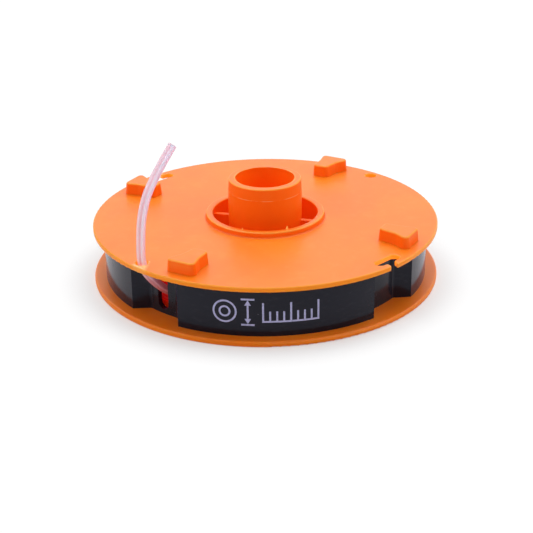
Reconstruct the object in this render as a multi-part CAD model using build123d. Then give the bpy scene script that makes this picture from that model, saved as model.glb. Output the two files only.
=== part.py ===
from build123d import *

import os
from math import cos, floor, pi, radians, sin, sqrt, tan

# Spool of trimmer line: an orange moulded spool, a black band clipped round it, and the wound line.
# Millimetres. The spool's axis is Z and its underside lies on Z = 0.
# A bearing is an angle about the axis, in degrees, from the front (-Y) towards the right (+X).

# Flanges
lower_flange_radius = 42.3
lower_flange_thickness = 1.4
upper_flange_radius = 42.0
upper_flange_thickness = 1.24
flange_gap = 11.8
lower_rim_round = 0.5
upper_rim_round = 0.3

# Hub: a tube for the spindle inside a drum that stands proud of the upper flange
bore_radius = 7.2
tube_radius = 8.95
tube_height_above_flange = 10.0
tube_taper_length = 2.9
tube_taper = 0.14
drum_radius = 14.6
drum_wall = 1.75
drum_taper = 0.15
collar_height = 1.35
collar_foot_round = 0.4
flange_root_width = 1.5
hub_edge_round = 0.35
well_floor_thickness = 1.5

# Ribs that tie the tube to the drum
rib_count = 4
rib_thickness = 1.2
rib_drop_below_flange = 0.3
rib_bearing = -13.3
rib_overlap = 0.4

# Drive cleats on the upper flange
cleat_count = 4
cleat_bearing = -29.0
cleat_height = 3.05
cleat_draft = 5.0
cleat_rim_gap = 2.6
cleat_length = 8.7
cleat_toe_length = 4.0
cleat_toe_left = 4.7
cleat_toe_right = 3.9
cleat_waist_left = 2.4
cleat_waist_right = 2.9
cleat_heel_left = 1.5
cleat_heel_right = 2.75
cleat_corner_round = 1.25
cleat_waist_round = 4.0
cleat_edge_round = 0.5

# Line holes: a round hole, twice, and a long catch with an open mouth, twice
hole_bearing = -45.3
hole_rim_gap = 2.6
hole_radius = 1.45
catch_bearing = 44.7
catch_rim_gap = 2.9
catch_sweep = 7.2
catch_width = 2.5
mouth_inner_left = 1.8
mouth_inner_right = 2.2
mouth_rim_left = 2.9
mouth_rim_right = 1.3
catch_lip_round = 0.55

# Retaining band: four panels and four recesses, split in one recess so that it springs open
band_radius = 39.45
band_wall = 1.2
band_top_clearance = 0.1
recess_count = 4
recess_bearing = -40.95
recess_depth = 3.45
recess_floor_width = 8.35
recess_mouth_width = 14.65
recess_corner_round = 1.2
exit_slot_width = 3.2
exit_slot_foot = 1.1
split_width = 0.8
split_recess = 2

# Line: wound loosely, so that it springs out towards the band, with one free end
line_diameter = 2.0
winding_drum_gap = 4.2
winding_play = 1.0
winding_headroom = 0.3
free_end_clearance = 0.05

# Heights and radii that follow from the sizes above
upper_flange_underside = lower_flange_thickness + flange_gap
upper_flange_top = upper_flange_underside + upper_flange_thickness
collar_top = upper_flange_top + collar_height
tube_top = upper_flange_top + tube_height_above_flange
well_radius = drum_radius - drum_wall
flange_root_radius = drum_radius + flange_root_width
cleat_outer_radius = upper_flange_radius - cleat_rim_gap
hole_circle_radius = upper_flange_radius - hole_rim_gap
catch_circle_radius = upper_flange_radius - catch_rim_gap
recess_floor_radius = band_radius - recess_depth
band_height = flange_gap - band_top_clearance
winding_height = flange_gap - winding_headroom
winding_radius = recess_floor_radius - band_wall - line_diameter - winding_play
winding_inner_radius = drum_radius + winding_drum_gap


def at_bearing(radius, bearing):
    """A point in plan at a radius and a bearing."""
    return (radius * sin(radians(bearing)), -radius * cos(radians(bearing)))


def turned(shape, bearing):
    """Turn a shape that was drawn pointing along +X so that it points along a bearing."""
    return Rot(0, 0, bearing - 90) * shape


def nearest_corner(shape, point):
    """The corner of a flat shape that lies nearest to a point."""
    return shape.vertices().sort_by_distance(Vector(point))[0]


# Spool


def spool_section():
    """Half section of the lower flange, drum, upper flange's root, well and tube, in the XZ plane."""
    taper_start = tube_top - tube_taper_length
    lip_radius = tube_radius - tube_taper
    collar_radius = drum_radius - drum_taper
    outline = Polyline(
        (bore_radius, 0),
        (lower_flange_radius, 0),
        (lower_flange_radius, lower_flange_thickness),
        (drum_radius, lower_flange_thickness),
        (drum_radius, upper_flange_underside),
        (flange_root_radius, upper_flange_underside),
        (flange_root_radius, upper_flange_top),
        (drum_radius, upper_flange_top),
        (collar_radius, collar_top),
        (well_radius, collar_top),
        (well_radius, well_floor_thickness),
        (tube_radius, well_floor_thickness),
        (tube_radius, taper_start),
        (lip_radius, tube_top),
        (bore_radius, tube_top),
        close=True,
    )
    section = make_face(outline)
    rim_corners = [(lower_flange_radius, 0), (lower_flange_radius, lower_flange_thickness)]
    hub_corners = [(collar_radius, collar_top), (well_radius, collar_top), (lip_radius, tube_top)]
    section = fillet([nearest_corner(section, point) for point in rim_corners], lower_rim_round)
    section = fillet([nearest_corner(section, point) for point in hub_corners], hub_edge_round)
    section = fillet(nearest_corner(section, (drum_radius, upper_flange_top)), collar_foot_round)
    return Plane.XZ * section


def hub_rib():
    """One upright rib across the well, pointing along +X."""
    reach = well_radius - tube_radius + 2 * rib_overlap
    height = upper_flange_top - rib_drop_below_flange - well_floor_thickness
    seat = Location((tube_radius - rib_overlap, 0, well_floor_thickness))
    return seat * Box(reach, rib_thickness, height, align=(Align.MIN, Align.CENTER, Align.MIN))


def cleat():
    """One drive cleat: a narrow heel that flares, unevenly, to a broad toe near the rim."""
    waist_radius = cleat_outer_radius - cleat_toe_length
    inner_radius = cleat_outer_radius - cleat_length
    toe_left = (cleat_outer_radius, -cleat_toe_left)
    toe_right = (cleat_outer_radius, cleat_toe_right)
    waist_right = (waist_radius, cleat_waist_right)
    heel_right = (inner_radius, cleat_heel_right)
    heel_left = (inner_radius, -cleat_heel_left)
    waist_left = (waist_radius, -cleat_waist_left)
    outline = Polyline(toe_left, toe_right, waist_right, heel_right, heel_left, waist_left, close=True)
    plan = make_face(outline)
    corners = [nearest_corner(plan, point) for point in (toe_left, toe_right, heel_right, heel_left)]
    plan = fillet(corners, cleat_corner_round)
    waists = [nearest_corner(plan, point) for point in (waist_left, waist_right)]
    plan = fillet(waists, cleat_waist_round)
    block = extrude(plan, amount=cleat_height)
    sides = block.faces().filter_by(Axis.Z, reverse=True)
    block = draft(sides, Plane.XY, cleat_draft)
    crown = block.faces().sort_by(Axis.Z)[-1]
    block = fillet(crown.edges(), cleat_edge_round)
    return Pos(0, 0, upper_flange_top) * block


def open_catch():
    """Plan of a long line catch along the rim, with a mouth that slants out to it, and its lips."""
    middle = CenterArc((0, 0), catch_circle_radius, -90 - catch_sweep / 2, catch_sweep)
    slot_edge_radius = catch_circle_radius + catch_width / 2
    outside = upper_flange_radius + catch_width
    mouth = Polyline(
        at_bearing(catch_circle_radius, -mouth_inner_left),
        at_bearing(outside, -mouth_rim_left),
        at_bearing(outside, -mouth_rim_right),
        at_bearing(catch_circle_radius, mouth_inner_right),
        close=True,
    )
    lips = [
        Vector(*at_bearing(slot_edge_radius, -mouth_inner_left)),
        Vector(*at_bearing(slot_edge_radius, mouth_inner_right)),
        Vector(*at_bearing(upper_flange_radius, -mouth_rim_left)),
        Vector(*at_bearing(upper_flange_radius, -mouth_rim_right)),
    ]
    return SlotArc(middle, catch_width) + make_face(mouth), lips


def flange_with_catch():
    """Plan of the upper flange with one line catch at the front, its lips rounded."""
    plan, lips = open_catch()
    disc = Circle(upper_flange_radius) - plan
    return fillet([nearest_corner(disc, lip) for lip in lips], catch_lip_round)


def upper_flange():
    """The upper flange out from its root, with its line openings and rounded edges, underside at Z = 0."""
    with_catch = flange_with_catch()
    plan = Circle(upper_flange_radius)
    for half_turn in (0, 180):
        plan &= Rot(0, 0, catch_bearing + half_turn) * with_catch
        plan -= Pos(*at_bearing(hole_circle_radius, hole_bearing + half_turn)) * Circle(hole_radius)
    flange = extrude(plan, amount=upper_flange_thickness)
    flange = fillet(flange.edges().filter_by(Axis.Z, reverse=True), upper_rim_round)
    return flange - Cylinder(flange_root_radius, flange_gap)


def spool():
    """The orange moulding: two flanges, drum, tube, ribs and drive cleats in one piece."""
    body = revolve(spool_section(), Axis.Z)
    body += Pos(0, 0, upper_flange_underside) * upper_flange()
    for turn in range(rib_count):
        body += turned(hub_rib(), rib_bearing + turn * 360 / rib_count)
    for turn in range(cleat_count):
        body += turned(cleat(), cleat_bearing + turn * 360 / cleat_count)
    return body


# Retaining band


def recess_plan():
    """Plan of one recess in the band's outline, pointing along +X: a curved floor and flared ends."""
    floor_half = recess_floor_width / 2
    mouth_half = recess_mouth_width / 2
    floor_x = sqrt(recess_floor_radius**2 - floor_half**2)
    mouth_x = sqrt(band_radius**2 - mouth_half**2)
    flare = (mouth_half - floor_half) / (mouth_x - floor_x)
    outer_x = band_radius + recess_depth
    outer_half = floor_half + flare * (outer_x - floor_x)
    inner_x = floor_x - recess_depth
    wedge = make_face(
        Polyline(
            (inner_x, -floor_half),
            (floor_x, -floor_half),
            (outer_x, -outer_half),
            (outer_x, outer_half),
            (floor_x, floor_half),
            (inner_x, floor_half),
            close=True,
        )
    )
    plan = wedge - Circle(recess_floor_radius)
    floor_ends = [nearest_corner(plan, (floor_x, side * floor_half)) for side in (-1, 1)]
    return fillet(floor_ends, recess_corner_round)


def exit_slot():
    """Cutter for the line's way out, along +X: open at the top, with a round foot."""
    foot_height = exit_slot_foot + exit_slot_width / 2
    reach = band_radius
    foot = Pos(0, 0, foot_height) * Rot(0, 90, 0) * Cylinder(
        exit_slot_width / 2, reach, align=(Align.CENTER, Align.CENTER, Align.MIN)
    )
    throat = Pos(0, 0, foot_height) * Box(
        reach, exit_slot_width, band_height, align=(Align.MIN, Align.CENTER, Align.MIN)
    )
    return foot + throat


def retaining_band():
    """The black band that keeps the line on the spool, standing on the lower flange."""
    outline = Circle(band_radius)
    for turn in range(recess_count):
        outline -= turned(recess_plan(), recess_bearing + turn * 360 / recess_count)
    inside = offset(outline, amount=-band_wall, kind=Kind.INTERSECTION)
    band = extrude(outline - inside, amount=band_height)
    band -= turned(exit_slot(), recess_bearing)
    split = Box(band_radius, split_width, 3 * band_height, align=(Align.MIN, Align.CENTER, Align.CENTER))
    band -= turned(split, recess_bearing + split_recess * 360 / recess_count)
    return Pos(0, 0, lower_flange_thickness) * band


# Line


def line_winding():
    """The wound line: one solid whose outer face shows the turns as rounded ridges."""
    rows = floor(winding_height / line_diameter)
    pitch = winding_height / rows
    bead_radius = line_diameter / 2
    valley_radius = winding_radius - bead_radius
    core = Rectangle(valley_radius - winding_inner_radius, winding_height, align=(Align.MIN, Align.MIN))
    section = Pos(winding_inner_radius, 0) * core
    for row in range(rows):
        section += Pos(valley_radius, (row + 0.5) * pitch) * Circle(bead_radius)
    winding = revolve(Plane.XZ * section, Axis.Z)
    return Pos(0, 0, lower_flange_thickness) * winding


# Free end of the line: bearing, radius and height of the points that its centre is drawn through.
# It lies against the winding, leaves through the slot in the recess, and climbs through the hole.
tail_start_radius = winding_radius + line_diameter / 2 + free_end_clearance
tail_route = [
    (recess_bearing + 10.2, tail_start_radius, lower_flange_thickness + 3.9),
    (recess_bearing + 1.6, tail_start_radius + 0.3, lower_flange_thickness + 4.4),
    (recess_bearing - 0.9, recess_floor_radius + 0.6, lower_flange_thickness + 7.0),
    (hole_bearing - 0.7, hole_circle_radius - 0.1, upper_flange_underside - 0.3),
    (hole_bearing - 0.1, hole_circle_radius + 0.8, upper_flange_top + 5.36),
    (hole_bearing, hole_circle_radius - 0.25, upper_flange_top + 12.36),
    (hole_bearing, hole_circle_radius - 3.5, upper_flange_top + 18.66),
    (hole_bearing, hole_circle_radius - 9.8, upper_flange_top + 25.46),
]
arc_share = 0.45


def tail_points():
    """The route's points in space."""
    return [Vector(*at_bearing(radius, bearing), height) for bearing, radius, height in tail_route]


def bend_radii(points):
    """The largest arc that fits at each inner point of a route."""
    radii = []
    for before, here, after in zip(points, points[1:], points[2:]):
        turn = (here - before).get_angle(after - here)
        shorter = min((here - before).length, (after - here).length)
        radii.append(arc_share * shorter / tan(radians(turn) / 2))
    return radii


def line_tail():
    """The free end: off the winding, out through the band's slot and up through the flange."""
    points = tail_points()
    radii = bend_radii(points)
    route = FilletPolyline(*points, radius=radii)
    start = Plane(origin=route @ 0, z_dir=route % 0)
    print("bend radii", [round(radius, 1) for radius in radii], "length", round(route.length, 1))
    tube = sweep(start * Circle(line_diameter / 2), path=route)
    expected_volume = route.length * pi * (line_diameter / 2) ** 2
    print("tail volume", round(tube.volume, 2), "expected", round(expected_volume, 2))
    return tube


pieces = {
    "spool": spool(),
    "retaining_band": retaining_band(),
    "line_winding": line_winding(),
    "line_tail": line_tail(),
}

os.makedirs("parts", exist_ok=True)
for name, piece in pieces.items():
    export_step(piece, os.path.join("parts", name + ".step"))
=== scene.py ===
"""Looks of a spool of trimmer line: orange moulding, black retaining band, wound nylon and its free end."""

import logging
import math
from dataclasses import dataclass, field
from enum import Enum
from typing import Any, ClassVar, Mapping, Sequence, Union

import bpy
from mathutils import Matrix, Vector


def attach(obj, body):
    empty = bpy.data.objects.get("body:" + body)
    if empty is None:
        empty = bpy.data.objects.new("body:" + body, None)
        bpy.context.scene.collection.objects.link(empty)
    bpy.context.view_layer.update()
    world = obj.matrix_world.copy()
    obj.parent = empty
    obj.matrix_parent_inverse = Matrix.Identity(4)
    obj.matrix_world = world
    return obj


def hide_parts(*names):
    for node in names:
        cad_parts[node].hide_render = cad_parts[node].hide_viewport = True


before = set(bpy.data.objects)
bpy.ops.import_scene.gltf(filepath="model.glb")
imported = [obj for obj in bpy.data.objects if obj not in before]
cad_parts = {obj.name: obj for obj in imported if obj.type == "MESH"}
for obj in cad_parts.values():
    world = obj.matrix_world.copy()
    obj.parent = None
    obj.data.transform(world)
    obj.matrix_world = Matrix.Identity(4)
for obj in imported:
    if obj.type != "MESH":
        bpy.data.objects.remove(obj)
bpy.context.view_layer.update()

LOG = logging.getLogger("spool")
MM = 0.001
ROOT = "root"
Colour = tuple[float, float, float, float]
Step = tuple[float, float]
Input = Union["Value", float, Sequence[float]]


class Slot(str, Enum):
    """The record's material slots."""

    SPOOL = "spool_plastic"
    BAND = "band_plastic"
    LINE = "line_nylon"


class Node(str, Enum):
    """The solids of the part."""

    SPOOL = "spool"
    BAND = "retaining_band"
    WINDING = "line_winding"
    TAIL = "line_tail"


def at_bearing(radius: float, bearing: float, height: float = 0.0) -> Vector:
    """A point at a radius, a bearing in degrees from the front towards the right, and a height.

    Args:
        radius: Distance from the spool's axis.
        bearing: Degrees from the front (-Y) towards the right (+X).
        height: Height above the underside.

    Returns:
        The point, in the units of the radius.
    """
    turn = math.radians(bearing)
    return Vector((radius * math.sin(turn), -radius * math.cos(turn), height))


# Shaders


class Value:
    """A shader output that takes part in Python expressions."""

    def __init__(self, shader: "Shader", socket: bpy.types.NodeSocket) -> None:
        """Wrap an output socket of a shader."""
        self.shader = shader
        self.socket = socket

    def __add__(self, other: Input) -> "Value":
        """Sum of two values."""
        return self.shader.math("ADD", self, other)

    __radd__ = __add__

    def __sub__(self, other: Input) -> "Value":
        """Difference of two values."""
        return self.shader.math("SUBTRACT", self, other)

    def __rsub__(self, other: Input) -> "Value":
        """Difference, with the plain number first."""
        return self.shader.math("SUBTRACT", other, self)

    def __mul__(self, other: Input) -> "Value":
        """Product of two values."""
        return self.shader.math("MULTIPLY", self, other)

    __rmul__ = __mul__

    def __truediv__(self, other: Input) -> "Value":
        """Quotient of two values."""
        return self.shader.math("DIVIDE", self, other)

    def __pow__(self, other: Input) -> "Value":
        """Power of a value."""
        return self.shader.math("POWER", self, other)

    def __abs__(self) -> "Value":
        """Size of a value without its sign."""
        return self.shader.math("ABSOLUTE", self)

    def sign(self) -> "Value":
        """-1, 0 or 1 by the value's sign."""
        return self.shader.math("SIGN", self)

    def ramp(self, low: float, high: float) -> "Value":
        """A smooth step that is 0 at low and 1 at high.

        Args:
            low: The value that gives 0. It may be the larger one, for a step down.
            high: The value that gives 1.

        Returns:
            The step.
        """
        inputs = {"Value": self, "From Min": low, "From Max": high}
        return self.shader.node("ShaderNodeMapRange", {"interpolation_type": "SMOOTHSTEP"}, inputs)


class Shader:
    """The nodes of a material or of the world, written as expressions."""

    def __init__(self, owner: bpy.types.Material | bpy.types.World) -> None:
        """Start with an empty node tree.

        Args:
            owner: The material or world that the nodes belong to.
        """
        owner.use_nodes = True
        self.owner = owner
        self.tree = owner.node_tree
        self.tree.nodes.clear()

    @classmethod
    def of_material(cls, name: str) -> "Shader":
        """The empty shader of a new material."""
        return cls(bpy.data.materials.new(name))

    def node(
        self,
        kind: str,
        settings: Mapping[str, Any] | None = None,
        inputs: Mapping[Any, Input] | None = None,
        output: int | str = 0,
    ) -> Value:
        """Add any node.

        Args:
            kind: The node's type.
            settings: Its own settings, which are set first; "stops" are a ramp's places and colours.
            inputs: Values or links by the socket's name or number.
            output: The name or number of the output that is wanted.

        Returns:
            That output.
        """
        made = self.tree.nodes.new(kind)
        for name, value in (settings or {}).items():
            if name == "stops":
                self._set_stops(made.color_ramp, value)
            else:
                setattr(made, name, value)
        for key, value in (inputs or {}).items():
            if isinstance(value, Value):
                self.tree.links.new(value.socket, made.inputs[key])
            else:
                made.inputs[key].default_value = value
        return Value(self, made.outputs[output])

    @staticmethod
    def _set_stops(ramp: bpy.types.ColorRamp, stops: Sequence[tuple[float, Colour]]) -> None:
        """Give a colour ramp its stops.

        Args:
            ramp: The ramp.
            stops: Places from 0 to 1, with their colours.
        """
        while len(ramp.elements) < len(stops):
            ramp.elements.new(1.0)
        for element, (position, colour) in zip(ramp.elements, stops):
            element.position = position
            element.color = colour

    def math(self, operation: str, *values: Input) -> Value:
        """A Math node on plain values."""
        return self.node("ShaderNodeMath", {"operation": operation}, dict(enumerate(values)))

    def mix(self, factor: Input, first: Input, second: Input) -> Value:
        """A colour between two others, by a factor."""
        inputs = {0: factor, 6: first, 7: second}
        return self.node("ShaderNodeMix", {"data_type": "RGBA"}, inputs, 2)

    def place(self) -> Value:
        """The place on the piece, in metres."""
        return self.node("ShaderNodeTexCoord", output="Object")

    def axes(self, place: Value) -> tuple[Value, Value, Value]:
        """The three parts of a place, in millimetres."""
        parts = [self.node("ShaderNodeSeparateXYZ", inputs={0: place}, output=axis) for axis in range(3)]
        return tuple(part * (1 / MM) for part in parts)

    def noise(
        self,
        place: Value,
        size: float,
        detail: float = 2.0,
        stretch: Sequence[float] = (1, 1, 1),
    ) -> Value:
        """Soft noise from 0 to 1.

        Args:
            place: The place on the piece.
            size: The size of its blotches, in metres.
            detail: How many finer layers it has.
            stretch: How much the pattern is drawn together along each axis.

        Returns:
            The noise.
        """
        scaled = self.node("ShaderNodeVectorMath", {"operation": "MULTIPLY"}, {0: place, 1: stretch})
        inputs = {"Vector": scaled, "Scale": 1 / size, "Detail": detail}
        return self.node("ShaderNodeTexNoise", inputs=inputs, output="Fac")

    def specks(self, place: Value, spacing: float, radius: float) -> Value:
        """Sparse round specks: 1 inside, 0 outside.

        Args:
            place: The place on the piece.
            spacing: The mean distance between specks, in metres.
            radius: A speck's largest radius as a share of the spacing.

        Returns:
            The mask.
        """
        core_share = 0.4
        rarity: Step = (0.72, 0.95)
        inputs = {"Vector": place, "Scale": 1 / spacing}
        cell = {"feature": "F1", "distance": "EUCLIDEAN"}
        distance = self.node("ShaderNodeTexVoronoi", cell, inputs, "Distance")
        chance = self.node("ShaderNodeTexWhiteNoise", {"noise_dimensions": "3D"}, {
            "Vector": self.node("ShaderNodeTexVoronoi", cell, inputs, "Position")}, "Value")
        return distance.ramp(radius, radius * core_share) * chance.ramp(*rarity)

    def bump(
        self,
        height: Value,
        distance: float,
        strength: float = 1.0,
        normal: Value | None = None,
    ) -> Value:
        """A normal that follows a height from 0 to 1.

        Args:
            height: The height's share.
            distance: The full height, in metres.
            strength: How strongly it shows.
            normal: A normal to add to.

        Returns:
            The normal.
        """
        inputs: dict[str, Input] = {"Strength": strength, "Distance": distance, "Height": height}
        if normal is not None:
            inputs["Normal"] = normal
        return self.node("ShaderNodeBump", inputs=inputs)

    def surface(self, inputs: Mapping[str, Input]) -> bpy.types.Material:
        """Finish the material with one Principled shader.

        Args:
            inputs: Values or links of its sockets.

        Returns:
            The material.
        """
        return self.output(self.node("ShaderNodeBsdfPrincipled", inputs=inputs))

    def output(self, surface: Value, kind: str = "ShaderNodeOutputMaterial") -> bpy.types.ID:
        """Finish the tree with a shader's output.

        Args:
            surface: The shader.
            kind: The type of the output node.

        Returns:
            The material or the world.
        """
        end = self.tree.nodes.new(kind)
        self.tree.links.new(surface.socket, end.inputs["Surface"])
        return self.owner


# Finishes


@dataclass(frozen=True)
class Spot:
    """Where a shaded point lies on the spool, in millimetres, and how far its face looks up."""

    place: Value
    x: Value
    y: Value
    z: Value
    radius: Value
    tilt: Value

    @classmethod
    def of(cls, shader: Shader) -> "Spot":
        """The point that a shader shades.

        Args:
            shader: The shader.

        Returns:
            The point.
        """
        place = shader.place()
        x, y, z = shader.axes(place)
        facing = shader.node("ShaderNodeNewGeometry", output="Normal")
        tilt = shader.node("ShaderNodeSeparateXYZ", inputs={0: facing}, output=2)
        return cls(place, x, y, z, (x * x + y * y) ** 0.5, tilt)

    def about(self, bearing: float) -> tuple[Value, Value]:
        """Distances outwards and sideways from a bearing, the same for the opening opposite.

        Args:
            bearing: Degrees from the front towards the right.

        Returns:
            The two distances.
        """
        out = at_bearing(1.0, bearing)
        side = at_bearing(1.0, bearing + 90)
        half = (self.x * out.x + self.y * out.y).sign()
        outwards = (self.x * out.x + self.y * out.y) * half
        sideways = (self.x * side.x + self.y * side.y) * half
        return outwards, sideways


@dataclass(frozen=True)
class OrangeMoulding:
    """Satin orange plastic with flow marks, fine grain and pale marks where the rim is strained, and with
    painted shade, painted highlights and a painted glow.

    Lengths of the zones are in millimetres. A Step holds where a mask is 0 and where it is 1; a share is how
    far a mask changes the colour, the painted glow or the coat.
    """

    deep: Colour = (0.86, 0.185, 0.004, 1)
    bright: Colour = (0.90, 0.212, 0.006, 1)
    strained: Colour = (1.0, 0.62, 0.26, 1)
    # painted shade: a redder, darker orange on the hub, the cleats and the collar's foot
    painted_shade: Colour = (0.92, 0.13, 0.004, 1)
    # painted shade: darker, redder upright faces above the flange
    side: Colour = (0.95, 0.135, 0.003, 1)
    # painted highlight on rounded edges and on the tube's lip
    painted_highlight: Colour = (1.0, 0.42, 0.06, 1)
    # painted light: the upper flange's rim face made lighter
    rim: Colour = (0.97, 0.29, 0.012, 1)
    unlit: Colour = (0.0, 0.0, 0.0, 1)
    # painted glow, in place of light through thin walls
    painted_glow: Colour = (0.13, 0.010, 0.0, 1)
    painted_glow_thin: Colour = (0.62, 0.16, 0.008, 1)
    dust: Colour = (0.95, 0.80, 0.66, 1)

    flow_size: float = 17 * MM
    flow_step: Step = (0.3, 0.7)
    grain_size: float = 0.22 * MM
    cloud_size: float = 2.6 * MM
    cloud_step: Step = (0.45, 0.8)
    cloud_share: float = 0.05
    roughness: float = 0.26
    flow_roughness: float = 0.08
    grain_roughness: float = 0.10
    cloud_roughness: float = 0.05
    speck_spacing: float = 9 * MM
    speck_radius: float = 0.03

    # zones of the painted shade on the hub and the cleats, and of the painted light on the rim
    hub_radius: Step = (13.75, 13.05)
    hub_height: Step = (22.44, 14.44)
    hub_shade_share: float = 0.9
    cleat_radius: Step = (30.0, 30.4)
    cleat_foot: Step = (14.49, 14.74)
    cleat_head: Step = (17.39, 14.84)
    cleat_shade_share: float = 0.6
    edge_radius: Step = (41.65, 41.95)
    edge_height: Step = (10.0, 12.0)
    rim_light_share: float = 0.8

    # zones of the painted glow
    bore_radius: Step = (7.7, 7.3)
    bore_height: Step = (24.44, 23.44)
    well_radius: Step = (13.15, 12.85)
    well_height: Step = (15.79, 13.94)
    well_glow_share: float = 0.6
    above_underside: Step = (0.8, 3.0)
    opening_tilt: Step = (0.7, 0.3)
    opening_inside: Step = (37.0, 37.3)
    opening_outside: Step = (41.6, 41.2)
    opening_low: Step = (13.0, 13.2)
    opening_high: Step = (14.5, 14.3)

    # zones of the painted shade on upright faces and at the collar's foot, and of the painted edge highlights
    side_tilt: Step = (0.5, 0.15)
    side_height: Step = (14.54, 14.84)
    side_shade_and_glow_share: float = 0.6
    foot_outside: Step = (16.6, 16.2)
    foot_inside: Step = (13.6, 14.0)
    foot_height: Step = (15.15, 14.95)
    foot_tilt: Step = (0.995, 0.97)
    foot_shade_share: float = 0.7
    round_from: Step = (0.12, 0.4)
    round_to: Step = (0.985, 0.9)
    round_height: Step = (4.0, 12.0)
    edge_highlight_share: float = 0.45
    edge_highlight_least: float = 0.05
    level_tilt: Step = (0.5, 0.97)
    satin_share: float = 0.5

    tube_radius: float = 8.95
    witness_height: float = 21.54
    witness_width: Step = (0.16, 0.03)
    witness_depth: Step = (0.6, 0.3)
    witness_share: float = 0.35
    broken_size: float = 2.0 * MM
    broken_step: Step = (0.38, 0.62)
    # painted highlights on the inner and outer edges of the tube's lip
    lip_inner: float = 7.32
    lip_inner_width: Step = (0.22, 0.06)
    lip_outer: float = 8.85
    lip_outer_width: Step = (0.16, 0.04)
    lip_height: Step = (24.14, 24.34)
    lip_highlight_share: float = 0.5
    lip_highlight_least: float = 0.2

    hole_bearing: float = -45.3
    hole_circle: float = 39.4
    ring_radius: float = 1.6
    ring_width: Step = (0.5, 0.05)
    ring_step: Step = (0.40, 0.66)
    ring_share: float = 0.7
    neck_run: tuple[float, float] = (2.66, 1.98)
    neck_width: Step = (2.3, 1.0)
    neck_reach: Step = (0.4, 1.3)
    neck_step: Step = (0.18, 0.44)
    front: Step = (0.0, -5.0)
    catch_bearing: float = 44.7
    catch_lips: tuple[tuple[float, float], ...] = ((41.4, -2.3), (41.4, -0.6))
    catch_width: Step = (1.3, 0.2)
    catch_step: Step = (0.36, 0.66)
    blotch_size: float = 0.9 * MM
    strain_height: Step = (12.5, 13.6)
    strain_share: float = 0.95

    def material(self) -> bpy.types.Material:
        """The finish as a material.

        Returns:
            The material.
        """
        shader = Shader.of_material("orange_moulding")
        spot = Spot.of(shader)
        flow = shader.noise(spot.place, self.flow_size, 3)
        grain = shader.noise(spot.place, self.grain_size, 3)
        cloud = shader.noise(spot.place, self.cloud_size, 4)
        bore = spot.radius.ramp(*self.bore_radius) * spot.z.ramp(*self.bore_height)
        well = spot.radius.ramp(*self.well_radius) * spot.z.ramp(*self.well_height)
        # upright faces above the flange, for painted shade and painted glow
        sides = abs(spot.tilt).ramp(*self.side_tilt) * spot.z.ramp(*self.side_height)
        witness = abs(spot.z - self.witness_height).ramp(*self.witness_width)
        witness = witness * abs(spot.radius - self.tube_radius).ramp(*self.witness_depth)

        colour = shader.mix(flow.ramp(*self.flow_step), self.deep, self.bright)
        colour = shader.mix(cloud.ramp(*self.cloud_step) * self.cloud_share, colour, self.strained)
        colour = self._strain(shader, spot, colour)
        # painted shade on the hub and the cleats, and painted light on the rim
        colour = self._paint_shade_and_rim_light(shader, spot, colour)
        # painted shade on the upright faces above the flange
        colour = shader.mix(sides * self.side_shade_and_glow_share, colour, self.side)
        # painted highlights on rounded edges, painted shade at the collar's foot
        colour = self._paint_edge_highlights_and_foot_shade(shader, spot, colour)
        # the witness line, and painted highlights on the tube's lip
        colour = self._witness_line_and_lip_highlight(shader, spot, witness, colour)
        specks = shader.specks(spot.place, self.speck_spacing, self.speck_radius)
        colour = shader.mix(specks, colour, self.dust)
        roughness = flow * self.flow_roughness + grain * self.grain_roughness + cloud * self.cloud_roughness
        normal = shader.bump(grain, 0.012 * MM, 0.5)
        normal = shader.bump(flow, 0.10 * MM, 0.12, normal)
        normal = shader.bump(witness, 0.05 * MM, 0.8, normal)
        return shader.surface({
            "Base Color": colour,
            "Roughness": roughness + self.roughness,
            "Normal": normal,
            "Specular IOR Level": 0.14,
            "Coat Weight": spot.tilt.ramp(*self.level_tilt) * (1 - well) * self.satin_share,
            "Coat Roughness": 0.36,
            "Subsurface Weight": 0.25,
            "Subsurface Radius": (1.0, 0.26, 0.04),
            "Subsurface Scale": 1.5 * MM,
            # painted glow in the bore, the well, the openings and on upright faces
            "Emission Color": self._painted_glow_colour(shader, spot, bore, well, sides),
            "Emission Strength": 1.0,
        })

    def _strain(self, shader: Shader, spot: Spot, colour: Value) -> Value:
        """Add the pale marks at the front hole and on the lips of the catches.

        Args:
            shader: The shader.
            spot: The shaded point.
            colour: The colour so far.

        Returns:
            The colour with the marks.
        """
        blotch = shader.noise(spot.place, self.blotch_size, 3)
        out, side = spot.about(self.hole_bearing)
        out = out - self.hole_circle
        length = math.hypot(*self.neck_run)
        run_out, run_side = (run / length for run in self.neck_run)
        along = out * run_out + side * run_side
        across = abs(out * run_side - side * run_out)
        neck = across.ramp(*self.neck_width) * along.ramp(*self.neck_reach) * blotch.ramp(*self.neck_step)
        ring = abs((out * out + side * side) ** 0.5 - self.ring_radius).ramp(*self.ring_width)
        ring = ring * blotch.ramp(*self.ring_step) * self.ring_share
        marks = shader.math("MAXIMUM", neck, ring) * spot.y.ramp(*self.front)
        out, side = spot.about(self.catch_bearing)
        lips = None
        for lip_radius, lip_bearing in self.catch_lips:
            lip = at_bearing(lip_radius, lip_bearing)
            gap = ((out + lip.y) * (out + lip.y) + (side - lip.x) * (side - lip.x)) ** 0.5
            mark = gap.ramp(*self.catch_width) * blotch.ramp(*self.catch_step)
            lips = mark if lips is None else lips + mark
        marks = shader.math("MINIMUM", shader.math("MAXIMUM", marks, lips), 1.0)
        return shader.mix(marks * spot.z.ramp(*self.strain_height) * self.strain_share, colour, self.strained)

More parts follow.
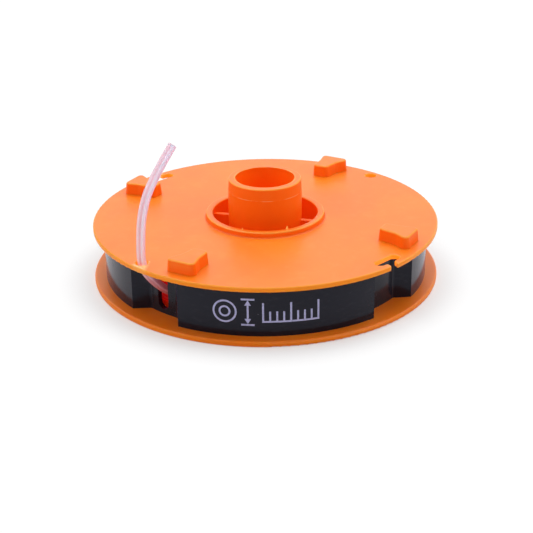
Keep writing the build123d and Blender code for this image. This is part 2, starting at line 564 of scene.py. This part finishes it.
    def _paint_shade_and_rim_light(self, shader: Shader, spot: Spot, colour: Value) -> Value:
        """Paint shade on the hub and the cleats, as a redder, darker orange, and paint light on the upper
        flange's rim.

        Args:
            shader: The shader.
            spot: The shaded point.
            colour: The colour so far.

        Returns:
            The changed colour.
        """
        hub = spot.radius.ramp(*self.hub_radius) * spot.z.ramp(*self.hub_height)
        cleats = spot.radius.ramp(*self.cleat_radius) * spot.z.ramp(*self.cleat_foot)
        cleats = cleats * spot.z.ramp(*self.cleat_head)
        # how much painted shade falls on each point of the hub and the cleats
        deep = shader.math("MAXIMUM", hub * self.hub_shade_share, cleats * self.cleat_shade_share)
        colour = shader.mix(deep, colour, self.painted_shade)
        # mask of the painted light on the upper flange's rim face
        edge = spot.radius.ramp(*self.edge_radius) * spot.z.ramp(*self.edge_height)
        return shader.mix(edge * self.rim_light_share, colour, self.rim)

    def _paint_edge_highlights_and_foot_shade(self, shader: Shader, spot: Spot, colour: Value) -> Value:
        """Paint highlights on the rounded edges and paint shade at the collar's hollow foot.

        Args:
            shader: The shader.
            spot: The shaded point.
            colour: The colour so far.

        Returns:
            The changed colour.
        """
        foot = spot.radius.ramp(*self.foot_outside) * spot.z.ramp(*self.foot_height)
        # painted shade at the foot of the collar's hollow
        hollow = foot * spot.radius.ramp(*self.foot_inside) * spot.tilt.ramp(*self.foot_tilt)
        colour = shader.mix(hollow * self.foot_shade_share, colour, self.painted_shade)
        # painted highlights on rounded edges, weaker low down
        rounded = spot.tilt.ramp(*self.round_from) * spot.tilt.ramp(*self.round_to) * (1 - foot)
        share = spot.z.ramp(*self.round_height) * self.edge_highlight_share + self.edge_highlight_least
        return shader.mix(rounded * share, colour, self.painted_highlight)

    def _witness_line_and_lip_highlight(self, shader: Shader, spot: Spot, witness: Value, colour: Value) -> Value:
        """Add the mould's witness line round the tube and painted highlights on the edges of its lip.

        Args:
            shader: The shader.
            spot: The shaded point.
            witness: Mask of the witness line.
            colour: The colour so far.

        Returns:
            The colour with the line and the painted highlights.
        """
        broken = shader.noise(spot.place, self.broken_size, 3).ramp(*self.broken_step)
        colour = shader.mix(witness * broken * self.witness_share, colour, self.strained)
        # painted highlights on the lip's edges
        inner = abs(spot.radius - self.lip_inner).ramp(*self.lip_inner_width)
        outer = abs(spot.radius - self.lip_outer).ramp(*self.lip_outer_width)
        lip = shader.math("MAXIMUM", inner, outer) * spot.z.ramp(*self.lip_height)
        return shader.mix(lip * (broken * self.lip_highlight_share + self.lip_highlight_least), colour, self.painted_highlight)

    def _painted_glow_colour(self, shader: Shader, spot: Spot, bore: Value, well: Value, sides: Value) -> Value:
        """A faint painted glow in the bore, the well, the walls of the openings and the upright faces, in
        place of light through thin walls.

        Args:
            shader: The shader.
            spot: The shaded point.
            bore: Mask of the tube's bore.
            well: Mask of the well round the tube.
            sides: Mask of the upright faces above the flange.

        Returns:
            The colour of the painted glow.
        """
        inside = shader.math("MAXIMUM", bore, well * self.well_glow_share) * spot.z.ramp(*self.above_underside)
        glow = shader.mix(inside, self.unlit, self.painted_glow)
        walls = abs(spot.tilt).ramp(*self.opening_tilt) * spot.radius.ramp(*self.opening_inside)
        walls = walls * spot.radius.ramp(*self.opening_outside)
        walls = walls * spot.z.ramp(*self.opening_low) * spot.z.ramp(*self.opening_high)
        glow = shader.mix(walls, glow, self.painted_glow_thin)
        return shader.mix(sides * (1 - bore) * self.side_shade_and_glow_share, glow, self.painted_glow)


@dataclass(frozen=True)
class TornFlash:
    """Thin torn crumbs of the orange plastic, pale because they are strained, with a faint painted glow."""

    pale: Colour = (1.0, 0.60, 0.12, 1)
    deep: Colour = (0.98, 0.38, 0.04, 1)
    # painted glow
    painted_light_glow: Colour = (0.10, 0.05, 0.004, 1)

    def material(self) -> bpy.types.Material:
        """The finish as a material.

        Returns:
            The material.
        """
        shader = Shader.of_material("torn_flash")
        tear = shader.noise(shader.place(), 0.3 * MM, 3)
        return shader.surface({
            "Base Color": shader.mix(tear.ramp(0.35, 0.6), self.deep, self.pale),
            "Roughness": tear * 0.2 + 0.3,
            # painted glow
            "Emission Color": self.painted_light_glow,
            "Emission Strength": 1.0,
        })


@dataclass(frozen=True)
class BlackGloss:
    """Polished black plastic with faint smears, fine grain and dust."""

    body: Colour = (0.0060, 0.0058, 0.0100, 1)
    dusty: Colour = (0.030, 0.029, 0.036, 1)
    mote: Colour = (0.30, 0.30, 0.34, 1)
    smear_size: float = 6 * MM
    grain_size: float = 0.5 * MM
    film_size: float = 2.4 * MM
    film_step: Step = (0.5, 0.85)
    film_share: float = 0.35
    mote_spacing: float = 2.6 * MM
    mote_radius: float = 0.035
    smear_step: Step = (0.35, 0.75)
    roughness: float = 0.10

    def material(self) -> bpy.types.Material:
        """The finish as a material.

        Returns:
            The material.
        """
        shader = Shader.of_material("black_gloss")
        place = shader.place()
        smear = shader.noise(place, self.smear_size, 3, (1, 1, 2.2))
        grain = shader.noise(place, self.grain_size, 2)
        film = shader.noise(place, self.film_size, 5, (1, 1, 3))
        colour = shader.mix(film.ramp(*self.film_step) * self.film_share, self.body, self.dusty)
        motes = shader.specks(place, self.mote_spacing, self.mote_radius)
        colour = shader.mix(motes, colour, self.mote)
        roughness = smear.ramp(*self.smear_step) * 0.07 + grain * 0.03 + motes * 0.4 + self.roughness
        normal = shader.bump(smear, 0.05 * MM, 0.25)
        normal = shader.bump(grain, 0.004 * MM, 0.3, normal)
        return shader.surface({
            "Base Color": colour,
            "Roughness": roughness,
            "Normal": normal,
            "Specular IOR Level": 0.22,
            "Specular Tint": (0.84, 0.85, 1.0, 1),
            "Sheen Weight": 0.15,
            "Sheen Roughness": 0.35,
            "Sheen Tint": (0.50, 0.40, 1.0, 1),
        })


@dataclass(frozen=True)
class PrintInk:
    """Pale lavender ink, slightly uneven as printed on a polished curve."""

    full: Colour = (0.42, 0.42, 0.66, 1)
    thin: Colour = (0.27, 0.27, 0.45, 1)
    cover_size: float = 0.35 * MM
    cover_step: Step = (0.28, 0.5)

    def material(self) -> bpy.types.Material:
        """The finish as a material.

        Returns:
            The material.
        """
        shader = Shader.of_material("print_ink")
        place = shader.place()
        cover = shader.noise(place, self.cover_size, 4)
        colour = shader.mix(cover.ramp(*self.cover_step), self.thin, self.full)
        return shader.surface({
            "Base Color": colour,
            "Roughness": cover * 0.2 + 0.35,
            "Normal": shader.bump(cover, 0.004 * MM, 0.4),
            "Specular IOR Level": 0.35,
        })


@dataclass(frozen=True)
class WoundNylon:
    """Wound red nylon, with painted shade between the turns, painted glints on their crests and a faint
    painted glow.
    """

    # painted shade between the turns
    shade: Colour = (0.45, 0.006, 0.006, 1)
    body: Colour = (0.86, 0.022, 0.020, 1)
    # painted glint on the crests
    glint: Colour = (0.95, 0.20, 0.16, 1)
    # painted glow
    painted_glow_dim: Colour = (0.10, 0.001, 0.001, 1)
    painted_glow: Colour = (0.26, 0.004, 0.004, 1)
    strand_size: float = 1.1 * MM
    strand_drawn: tuple[float, float, float] = (0.35, 0.35, 2.6)
    body_step: Step = (0.3, 0.55)
    glint_step: Step = (0.58, 0.75)
    painted_glow_step: Step = (0.3, 0.7)
    patch_size: float = 5 * MM

    def material(self) -> bpy.types.Material:
        """The finish as a material.

        Returns:
            The material.
        """
        shader = Shader.of_material("wound_nylon")
        place = shader.place()
        strand = shader.noise(place, self.strand_size, 3, self.strand_drawn)
        patch = shader.noise(place, self.patch_size, 3)
        # painted shade between the turns, painted glints on the crests
        colour = shader.mix(strand.ramp(*self.body_step), self.shade, self.body)
        colour = shader.mix(strand.ramp(*self.glint_step) * patch, colour, self.glint)
        return shader.surface({
            "Base Color": colour,
            "Roughness": strand * 0.15 + 0.16,
            "Normal": shader.bump(strand, 0.06 * MM, 0.5),
            "Subsurface Weight": 0.25,
            "Subsurface Radius": (1.0, 0.12, 0.10),
            "Subsurface Scale": 1.2 * MM,
            "Specular IOR Level": 0.2,
            # painted glow
            "Emission Color": shader.mix(strand.ramp(*self.painted_glow_step), self.painted_glow_dim, self.painted_glow),
            "Emission Strength": 1.0,
        })


@dataclass(frozen=True)
class ClearNylon:
    """Clear pink line: pale on the ribs, pinker in the grooves, with drawn streaks along it; its colours
    round it are partly its own and partly painted highlight, with painted shade below the flange and a faint
    painted glow.
    """

    # colours round the line: its own coloured bands, with a painted highlight in the palest band
    stripes_and_painted_highlight: tuple[tuple[float, Colour], ...] = (
        (0.00, (0.74, 0.66, 0.94, 1)),
        (0.22, (0.90, 0.66, 0.76, 1)),
        (0.46, (0.94, 0.38, 0.36, 1)),
        (0.55, (0.96, 0.58, 0.56, 1)),
        (0.68, (0.97, 0.68, 0.66, 1)),
        (0.735, (0.94, 0.46, 0.46, 1)),
        (0.79, (0.98, 0.88, 0.92, 1)),
        (0.88, (0.90, 0.80, 0.96, 1)),
        (1.00, (0.74, 0.66, 0.94, 1)),
    )
    lilac: Colour = (0.80, 0.74, 0.96, 1)
    pale: Colour = (0.96, 0.86, 0.88, 1)
    # painted shade: darker red below the upper flange
    painted_flange_shade: Colour = (0.55, 0.06, 0.055, 1)
    # painted glow, weaker below the flange
    painted_light_glow: Colour = (0.06, 0.045, 0.065, 1)
    painted_glow_below: Colour = (0.03, 0.003, 0.003, 1)
    streaks_round: float = 9.0
    streaks_along: float = 2.0
    streak_step: Step = (0.45, 0.7)
    streak_share: float = 0.3
    groove_step: Step = (0.4, 0.95)
    groove_share: float = 0.15
    lilac_height: Step = (20.0, 38.0)
    lilac_share: float = 0.35
    flange_shade_height: Step = (13.4, 9.5)
    flange_shade_share: float = 0.75
    painted_glow_below_height: Step = (12.0, 7.0)
    haze_size: float = 1.4 * MM

    def material(self) -> bpy.types.Material:
        """The finish as a material.

        Returns:
            The material.
        """
        shader = Shader.of_material("clear_nylon")
        place = shader.place()
        depth, turn, run = (
            shader.node("ShaderNodeAttribute", {"attribute_name": name}, output="Fac")
            for name in (FreeEnd.DEPTH, FreeEnd.TURN, FreeEnd.RUN))
        spread = {0: turn * self.streaks_round, 1: run * self.streaks_along, 2: 0.0}
        drawn = shader.node("ShaderNodeCombineXYZ", inputs=spread)
        streaks = {"Vector": drawn, "Scale": 1.0, "Detail": 3.0}
        streak = shader.node("ShaderNodeTexNoise", inputs=streaks, output="Fac")
        # colour round the line, partly painted highlight
        colour = shader.node("ShaderNodeValToRGB", {"stops": self.stripes_and_painted_highlight}, {"Fac": turn}, "Color")
        colour = shader.mix(streak.ramp(*self.streak_step) * self.streak_share, colour, self.pale)
        colour = shader.mix(depth.ramp(*self.groove_step) * self.groove_share, colour, self.pale)
        height = shader.axes(place)[2]
        colour = shader.mix(height.ramp(*self.lilac_height) * self.lilac_share, colour, self.lilac)
        # painted shade below the upper flange
        colour = shader.mix(height.ramp(*self.flange_shade_height) * self.flange_shade_share, colour, self.painted_flange_shade)
        haze = shader.noise(place, self.haze_size, 3)
        return shader.surface({
            "Base Color": colour,
            "Roughness": haze * 0.16 + 0.14,
            "Normal": shader.bump(streak, 0.03 * MM, 0.4),
            "IOR": 1.53,
            "Transmission Weight": 0.25,
            # painted glow, weaker below the flange
            "Emission Color": shader.mix(height.ramp(*self.painted_glow_below_height), self.painted_light_glow, self.painted_glow_below),
            "Emission Strength": 1.0,
            "Subsurface Weight": 0.4,
            "Subsurface Radius": (1.0, 0.55, 0.55),
            "Subsurface Scale": 1.0 * MM,
        })


@dataclass(frozen=True)
class PaleFloor:
    """A white table top that keeps the object's soft shadow near it, with painted light that fades the shadow
    further out.
    """

    paint: Colour = (0.86, 0.86, 0.87, 1)
    worn: Colour = (0.9, 0.9, 0.9, 1)
    worn_size: float = 60 * MM
    worn_share: float = 0.1
    glow: float = 1.03
    # the share of plain white rises with distance from the axis: painted light that fades the shadow
    share_near: float = 0.40
    share_far: float = 0.92
    painted_shadow_fade: Step = (42.0, 56.0)

    def material(self) -> bpy.types.Material:
        """The finish as a material.

        Returns:
            The material.
        """
        shader = Shader.of_material("pale_floor")
        place = shader.place()
        x, y, _ = shader.axes(place)
        # painted light: more plain white further from the axis, fading the shadow
        painted_shadow_fade = ((x * x + y * y) ** 0.5).ramp(*self.painted_shadow_fade)
        share = painted_shadow_fade * (self.share_far - self.share_near) + self.share_near
        mottle = shader.noise(place, self.worn_size, 2)
        paint = shader.mix(mottle * self.worn_share, self.paint, self.worn)
        matt = shader.node("ShaderNodeBsdfDiffuse", inputs={"Color": paint})
        white = shader.node("ShaderNodeEmission", inputs={"Strength": self.glow})
        seen = Studio.seen_directly(shader)
        surface = shader.node("ShaderNodeMixShader", inputs={0: seen * share, 1: matt, 2: white})
        return shader.output(surface)


# Modelling by hand


class Bench:
    """Edit-mode habits that every new piece shares."""

    @staticmethod
    def clear() -> None:
        """Deselect every object."""
        bpy.ops.object.select_all(action="DESELECT")

    @staticmethod
    def pick(piece: bpy.types.Object) -> None:
        """Select one object alone and make it active.

        Args:
            piece: The object.
        """
        Bench.clear()
        piece.select_set(True)
        bpy.context.view_layer.objects.active = piece

    @staticmethod
    def face_outwards(piece: bpy.types.Object) -> None:
        """Turn all of an object's faces outwards.

        Args:
            piece: The object.
        """
        Bench.pick(piece)
        bpy.ops.object.mode_set(mode="EDIT")
        bpy.ops.mesh.select_all(action="SELECT")
        bpy.ops.mesh.normals_make_consistent(inside=False)
        bpy.ops.object.mode_set(mode="OBJECT")

    @staticmethod
    def name(name: str) -> bpy.types.Object:
        """Name the active object and its mesh.

        Args:
            name: The name of both.

        Returns:
            The object.
        """
        piece = bpy.context.active_object
        piece.name = name
        piece.data.name = name
        return piece

    @staticmethod
    def join(pieces: Sequence[bpy.types.Object], name: str) -> bpy.types.Object:
        """Join objects into the first one.

        Args:
            pieces: The objects.
            name: The joined object's name.

        Returns:
            The joined object.
        """
        Bench.clear()
        for piece in pieces:
            piece.select_set(True)
        bpy.context.view_layer.objects.active = pieces[0]
        bpy.ops.object.join()
        return Bench.name(name)

    @staticmethod
    def settle(piece: bpy.types.Object) -> None:
        """Put an object's place, turn and size into its mesh."""
        Bench.pick(piece)
        bpy.ops.object.transform_apply(location=True, rotation=True, scale=True)

    @staticmethod
    def smooth(piece: bpy.types.Object, angle: float) -> None:
        """Shade a piece smooth below an angle in degrees."""
        Bench.pick(piece)
        bpy.ops.object.shade_smooth_by_angle(angle=math.radians(angle))

    @staticmethod
    def dress(piece: bpy.types.Object, material: bpy.types.Material) -> None:
        """Give a piece one material."""
        piece.data.materials.clear()
        piece.data.materials.append(material)


# Sub-assemblies


@dataclass
class SpoolBody:
    """The orange moulding, with the crumbs of flash that its mould leaves on the collar."""

    finish: OrangeMoulding = field(default_factory=OrangeMoulding)
    torn: TornFlash = field(default_factory=TornFlash)
    collar_top: float = 15.79 * MM
    collar_inside: float = 13.15 * MM
    flash_bearings: tuple[float, ...] = (23.0, -24.5, 151.0)
    flash_sizes: tuple[float, ...] = (0.62 * MM, 0.30 * MM, 0.36 * MM)

    def build(self) -> None:
        """Dress the solid and add the flash."""
        Bench.dress(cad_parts[Node.SPOOL.value], self.finish.material())
        crumbs = [self._crumb(bearing, size) for bearing, size in zip(self.flash_bearings, self.flash_sizes)]
        flash = Bench.join(crumbs, "collar_flash")
        Bench.settle(flash)
        Bench.smooth(flash, 40)
        Bench.dress(flash, self.torn.material())
        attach(flash, ROOT)
        LOG.info("spool dressed, %d crumbs of flash", len(crumbs))

    def _crumb(self, bearing: float, size: float) -> bpy.types.Object:
        """One torn crumb of flash on the collar's inner edge.

        Args:
            bearing: Its place round the collar, in degrees.
            size: About its width, in metres.

        Returns:
            The crumb.
        """
        Bench.clear()
        foot = at_bearing(self.collar_inside, bearing, self.collar_top - 0.1 * size)
        bpy.ops.mesh.primitive_cone_add(
            vertices=9, radius1=size * 0.62, radius2=size * 0.16, depth=size * 1.5,
            location=foot + Vector((0, 0, size * 0.55)))
        bpy.ops.object.mode_set(mode="EDIT")
        bpy.ops.mesh.select_all(action="SELECT")
        bpy.ops.mesh.subdivide(number_cuts=2, fractal=0.35, seed=int(bearing) + 40)
        bpy.ops.object.mode_set(mode="OBJECT")
        return bpy.context.active_object


@dataclass
class RetainingBand:
    """The black band and the plain gauge mark that is printed on its front panel."""

    finish: BlackGloss = field(default_factory=BlackGloss)
    ink: PrintInk = field(default_factory=PrintInk)
    radius: float = 39.45 * MM
    mark_height: float = 7.3 * MM
    mark_centre: float = 0.3 * MM
    ink_stands: float = 0.02 * MM
    ink_sinks: float = 0.02 * MM
    stroke: float = 0.42 * MM
    ring_place: float = -9.6 * MM
    ring_sizes: tuple[float, ...] = (2.75 * MM, 1.35 * MM)
    ring_steps: int = 56
    arrow_place: float = -4.4 * MM
    arrow_half: float = 3.1 * MM
    head_size: float = 0.85 * MM
    bar_half: float = 1.5 * MM
    scale_from: float = -1.0 * MM
    tick_gap: float = 1.55 * MM
    tick_count: int = 9
    tick_long: float = 4.6 * MM
    tick_short: float = 2.5 * MM
    long_every: int = 4

    def build(self) -> None:
        """Dress the solid and print the mark."""
        Bench.dress(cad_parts[Node.BAND.value], self.finish.material())
        strokes = [self._ring(size) for size in self.ring_sizes]
        strokes += self._arrow()
        strokes += self._scale()
        mark = Bench.join(strokes, "panel_mark")
        Bench.settle(mark)
        self._thicken(mark)
        self._wrap(mark)
        Bench.smooth(mark, 30)
        Bench.dress(mark, self.ink.material())
        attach(mark, ROOT)
        LOG.info("band dressed, mark of %d strokes", len(strokes))

    def _ring(self, size: float) -> bpy.types.Object:
        """A flat ring, drawn in the plane of the panel before it is wrapped.

        Args:
            size: Its outer radius.

        Returns:
            The ring.
        """
        Bench.clear()
        bpy.ops.mesh.primitive_circle_add(
            vertices=self.ring_steps, radius=size, fill_type="NGON",
            location=(self.ring_place, 0, 0), rotation=(math.pi / 2, 0, 0))
        bpy.ops.object.mode_set(mode="EDIT")
        bpy.ops.mesh.select_all(action="SELECT")
        bpy.ops.mesh.inset(thickness=self.stroke)
        bpy.ops.mesh.delete(type="FACE")
        bpy.ops.object.mode_set(mode="OBJECT")
        return bpy.context.active_object

    def _bar(self, centre: Vector, width: float, height: float) -> bpy.types.Object:
        """A flat bar, with enough cuts to wrap round the panel.

        Args:
            centre: Its middle.
            width: Its size across the panel.
            height: Its size up the panel.

        Returns:
            The bar.
        """
        Bench.clear()
        bpy.ops.mesh.primitive_plane_add(size=1, location=centre, rotation=(math.pi / 2, 0, 0))
        bpy.context.active_object.scale = (width, height, 1)
        bpy.ops.object.mode_set(mode="EDIT")
        bpy.ops.mesh.select_all(action="SELECT")
        bpy.ops.mesh.subdivide(number_cuts=max(1, round(width / self.stroke / 2)))
        bpy.ops.object.mode_set(mode="OBJECT")
        return bpy.context.active_object

    def _arrow(self) -> list[bpy.types.Object]:
        """A double arrow between two bars.

        Returns:
            Its strokes.
        """
        strokes = []
        for side in (-1, 1):
            height = side * self.arrow_half
            strokes.append(self._bar(Vector((self.arrow_place, 0, height)), 2 * self.bar_half, self.stroke))
            Bench.clear()
            tip = height - side * (self.head_size + self.stroke / 2)
            bpy.ops.mesh.primitive_circle_add(
                vertices=3, radius=self.head_size, fill_type="NGON",
                location=(self.arrow_place, 0, tip), rotation=(math.pi / 2, 0 if side > 0 else math.pi, 0))
            strokes.append(bpy.context.active_object)
        shaft = 2 * (self.arrow_half - 1.8 * self.head_size)
        strokes.append(self._bar(Vector((self.arrow_place, 0, 0)), self.stroke, shaft))
        return strokes

    def _scale(self) -> list[bpy.types.Object]:
        """A plain scale of long and short ticks on a base line.

        Returns:
            Its strokes.
        """
        run = self.tick_gap * (self.tick_count - 1)
        base = -self.tick_long / 2
        strokes = [self._bar(Vector((self.scale_from + run / 2, 0, base)), run + self.stroke, self.stroke)]
        for tick in range(self.tick_count):
            reach = self.tick_short if tick % self.long_every else self.tick_long
            place = Vector((self.scale_from + tick * self.tick_gap, 0, base + reach / 2))
            strokes.append(self._bar(place, self.stroke, reach))
        return strokes

    def _thicken(self, mark: bpy.types.Object) -> None:
        """Give the ink its thickness, from just inside the panel's face to just outside it.

        Args:
            mark: The flat mark.
        """
        Bench.face_outwards(mark)
        film = mark.modifiers.new("film", "SOLIDIFY")
        film.thickness = self.ink_stands + self.ink_sinks
        film.offset = 0
        bpy.ops.object.modifier_apply(modifier=film.name)

    def _wrap(self, mark: bpy.types.Object) -> None:
        """Lay the flat mark round the panel."""
        for vertex in mark.data.vertices:
            across, depth, up = vertex.co
            bearing = math.degrees((across + self.mark_centre) / self.radius)
            vertex.co = at_bearing(self.radius - depth, bearing, up + self.mark_height)
        Bench.face_outwards(mark)


@dataclass
class FreeEnd:
    """The line's free end: five ribs along it, off the winding and up through the rim."""

    DEPTH: ClassVar[str] = "groove_depth"
    TURN: ClassVar[str] = "turn_share"
    RUN: ClassVar[str] = "run_length"

    finish: ClearNylon = field(default_factory=ClearNylon)
    diameter: float = 2.0 * MM
    length: float = 45.1 * MM
    route: tuple[tuple[float, float, float], ...] = (
        (-30.75, 32.85 * MM, 5.3 * MM),
        (-39.35, 33.15 * MM, 5.8 * MM),
        (-41.85, 36.6 * MM, 8.4 * MM),
        (-45.6, 39.45 * MM, 12.9 * MM),
        (-45.1, 39.58 * MM, 19.66 * MM),
        (-45.1, 38.79 * MM, 26.41 * MM),
        (-45.1, 35.56 * MM, 33.07 * MM),
        (-45.1, 29.03 * MM, 39.81 * MM),
    )
    ribs: int = 5
    steps_per_rib: int = 8
    groove: float = 0.20 * MM
    groove_sharpness: float = 2.0
    section_turn: float = -0.5 * math.pi + math.pi / 5
    crest: float = 1.05 * MM
    cut_hollow: float = 0.6 * MM
    run_unit: float = 100 * MM

    def build(self) -> None:
        """Make the ribbed line along its route."""
        path = self._path()
        piece = self._tube(path)
        Bench.smooth(piece, 50)
        Bench.dress(piece, self.finish.material())
        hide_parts(Node.TAIL.value)
        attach(piece, ROOT)
        LOG.info("free end made on %d points", len(path))

    def _path(self) -> list[Vector]:
        """Read the points of the route's smooth curve.

        Returns:
            The points, in metres.
        """
        curve = bpy.data.curves.new("free_end_route", "CURVE")
        curve.dimensions = "3D"
        spline = curve.splines.new("NURBS")
        spline.points.add(len(self.route) - 1)
        for point, (bearing, radius, height) in zip(spline.points, self.route):
            point.co = (*at_bearing(radius, bearing, height), 1)
        spline.order_u = 3
        spline.use_endpoint_u = True
        spline.resolution_u = 16
        holder = bpy.data.objects.new("free_end_route", curve)
        mesh = bpy.data.meshes.new_from_object(holder)
        points = [vertex.co.copy() for vertex in mesh.vertices]
        bpy.data.meshes.remove(mesh)
        bpy.data.objects.remove(holder)
        bpy.data.curves.remove(curve)
        return points

    def _section(self) -> list[tuple[float, float, float]]:
        """Work out the ribbed section.

        Returns:
            Angle, radius and groove depth, from 0 to 1, of the points round the line.
        """
        count = self.ribs * self.steps_per_rib
        points = []
        for step in range(count):
            angle = 2 * math.pi * step / count
            depth = (0.5 - 0.5 * math.cos(self.ribs * angle)) ** self.groove_sharpness
            points.append((angle + self.section_turn, self.crest - self.groove * depth, depth))
        return points

    def _tube(self, path: Sequence[Vector]) -> bpy.types.Object:
        """A tube of the ribbed section along a path.

        Args:
            path: The points that it follows.

        Returns:
            The piece.
        """
        section = self._section()
        vertices, faces = [], []
        depths, turns, runs = [], [], []
        run = 0.0
        for index, point in enumerate(path):
            before, after = path[max(index - 1, 0)], path[min(index + 1, len(path) - 1)]
            ahead = (after - before).normalized()
            side = Vector((1, 0, 0)) - ahead * ahead.x
            side.normalize()
            up = ahead.cross(side)
            run += (point - before).length
            for angle, radius, depth in section:
                vertices.append(point + radius * (side * math.cos(angle) + up * math.sin(angle)))
                depths.append(depth)
                turns.append(angle / (2 * math.pi) % 1)
                runs.append(run / self.run_unit)
        count = len(section)
        for ring in range(len(path) - 1):
            for step in range(count):
                first, second = ring * count + step, ring * count + (step + 1) % count
                faces.append((first, second, second + count, first + count))
        faces.append(tuple(reversed(range(count))))
        rim, tip = (len(path) - 1) * count, len(vertices)
        vertices.append(path[-1] - self.cut_hollow * (path[-1] - path[-2]).normalized())
        depths.append(0.0)
        turns.append(0.0)
        runs.append(run / self.run_unit)
        faces.extend((rim + step, rim + (step + 1) % count, tip) for step in range(count))
        mesh = bpy.data.meshes.new("free_end")
        mesh.from_pydata([tuple(vertex) for vertex in vertices], [], faces)
        for name, values in ((self.DEPTH, depths), (self.TURN, turns), (self.RUN, runs)):
            mesh.attributes.new(name, "FLOAT", "POINT").data.foreach_set("value", values)
        piece = bpy.data.objects.new("free_end", mesh)
        bpy.context.scene.collection.objects.link(piece)
        return piece


@dataclass
class LineWinding:
    """The wound line, seen through the band's slot."""

    finish: WoundNylon = field(default_factory=WoundNylon)

    def build(self) -> None:
        """Dress the solid."""
        Bench.dress(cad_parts[Node.WINDING.value], self.finish.material())
        LOG.info("winding dressed")


# Studio


@dataclass
class SoftLamp:
    """One large soft lamp that faces the spool."""

    name: str
    place: tuple[float, float, float]
    size: tuple[float, float]
    power: float
    colour: tuple[float, float, float] = (1.0, 1.0, 1.0)
    aim: tuple[float, float, float] = (0.0, 0.0, 0.01)

    def build(self) -> None:
        """Hang the lamp."""
        light = bpy.data.lights.new(self.name, "AREA")
        light.shape = "RECTANGLE"
        light.size, light.size_y = self.size
        light.energy = self.power
        light.color = self.colour
        lamp = bpy.data.objects.new(self.name, light)
        lamp.location = self.place
        lamp.rotation_euler = (Vector(self.aim) - Vector(self.place)).to_track_quat("-Z", "Y").to_euler()
        bpy.context.scene.collection.objects.link(lamp)


@dataclass
class Studio:
    """Camera, soft lamps, white surroundings and the floor."""

    camera_place: tuple[float, float, float] = (0.0, -0.29482, 0.13277)
    camera_right: tuple[float, float, float] = (0.99994032, -0.00496729, -0.00973065)
    camera_up: tuple[float, float, float] = (0.01091104, 0.40874958, 0.91258136)
    lens: float = 87.35
    sensor: float = 36.0
    floor_size: float = 6.0
    surround: float = 0.28
    lamps: tuple[SoftLamp, ...] = (
        SoftLamp("lamp_top", (0.02, 0.27, 0.73), (0.9, 0.7), 5.8),
        SoftLamp("lamp_left", (-0.75, -0.25, 0.40), (0.5, 0.7), 2.0),
        SoftLamp("lamp_right", (0.75, -0.10, 0.40), (0.5, 0.7), 1.9),
        SoftLamp("lamp_front", (0.10, -0.90, 0.60), (0.8, 0.4), 1.0),
    )

    @staticmethod
    def seen_directly(shader: Shader) -> Value:
        """1 for rays that the camera sends, also by way of a mirror or glass.

        Args:
            shader: The shader that asks.

        Returns:
            The mask.
        """
        rays = ("Camera", "Glossy", "Transmission")
        seen, mirrored, through = (
            shader.node("ShaderNodeLightPath", output=f"Is {ray} Ray") for ray in rays)
        return shader.math("MAXIMUM", shader.math("MAXIMUM", seen, mirrored), through)

    def build(self) -> None:
        """Set up all that surrounds the object."""
        bpy.context.scene.view_settings.view_transform = "Standard"
        self._camera()
        self._world()
        self._floor()
        for lamp in self.lamps:
            lamp.build()
        LOG.info("studio ready, %d lamps", len(self.lamps))

    def _camera(self) -> None:
        """Place the camera as the photograph was taken."""
        data = bpy.data.cameras.new("camera")
        data.lens, data.sensor_width = self.lens, self.sensor
        data.clip_start, data.clip_end = 0.01, 20
        camera = bpy.data.objects.new("camera", data)
        right, up = Vector(self.camera_right), Vector(self.camera_up)
        turn = Matrix((right, up, right.cross(up))).transposed()
        camera.matrix_world = Matrix.Translation(self.camera_place) @ turn.to_4x4()
        bpy.context.scene.collection.objects.link(camera)
        bpy.context.scene.camera = camera

    def _world(self) -> None:
        """Even white surroundings: plain white where they are seen, softer as light."""
        shader = Shader(bpy.data.worlds.new("surroundings"))
        seen = self.seen_directly(shader)
        strength = seen * (1.0 - self.surround) + self.surround
        glow = shader.node("ShaderNodeBackground", inputs={"Color": (1, 1, 1, 1), "Strength": strength})
        bpy.context.scene.world = shader.output(glow, "ShaderNodeOutputWorld")

    def _floor(self) -> None:
        """A wide pale floor under the object."""
        Bench.clear()
        bpy.ops.mesh.primitive_plane_add(size=self.floor_size, location=(0, 0, 0))
        bpy.ops.object.mode_set(mode="EDIT")
        bpy.ops.mesh.select_all(action="SELECT")
        bpy.ops.mesh.subdivide(number_cuts=3)
        bpy.ops.object.mode_set(mode="OBJECT")
        floor = Bench.name("floor")
        Bench.dress(floor, PaleFloor().material())


def main() -> None:
    """Build the studio and each sub-assembly, in order."""
    logging.basicConfig(level=logging.INFO, format="%(name)s: %(message)s")
    for assembly in (Studio(), FreeEnd(), SpoolBody(), RetainingBand(), LineWinding()):
        assembly.build()


if __name__ == "__main__":
    main()
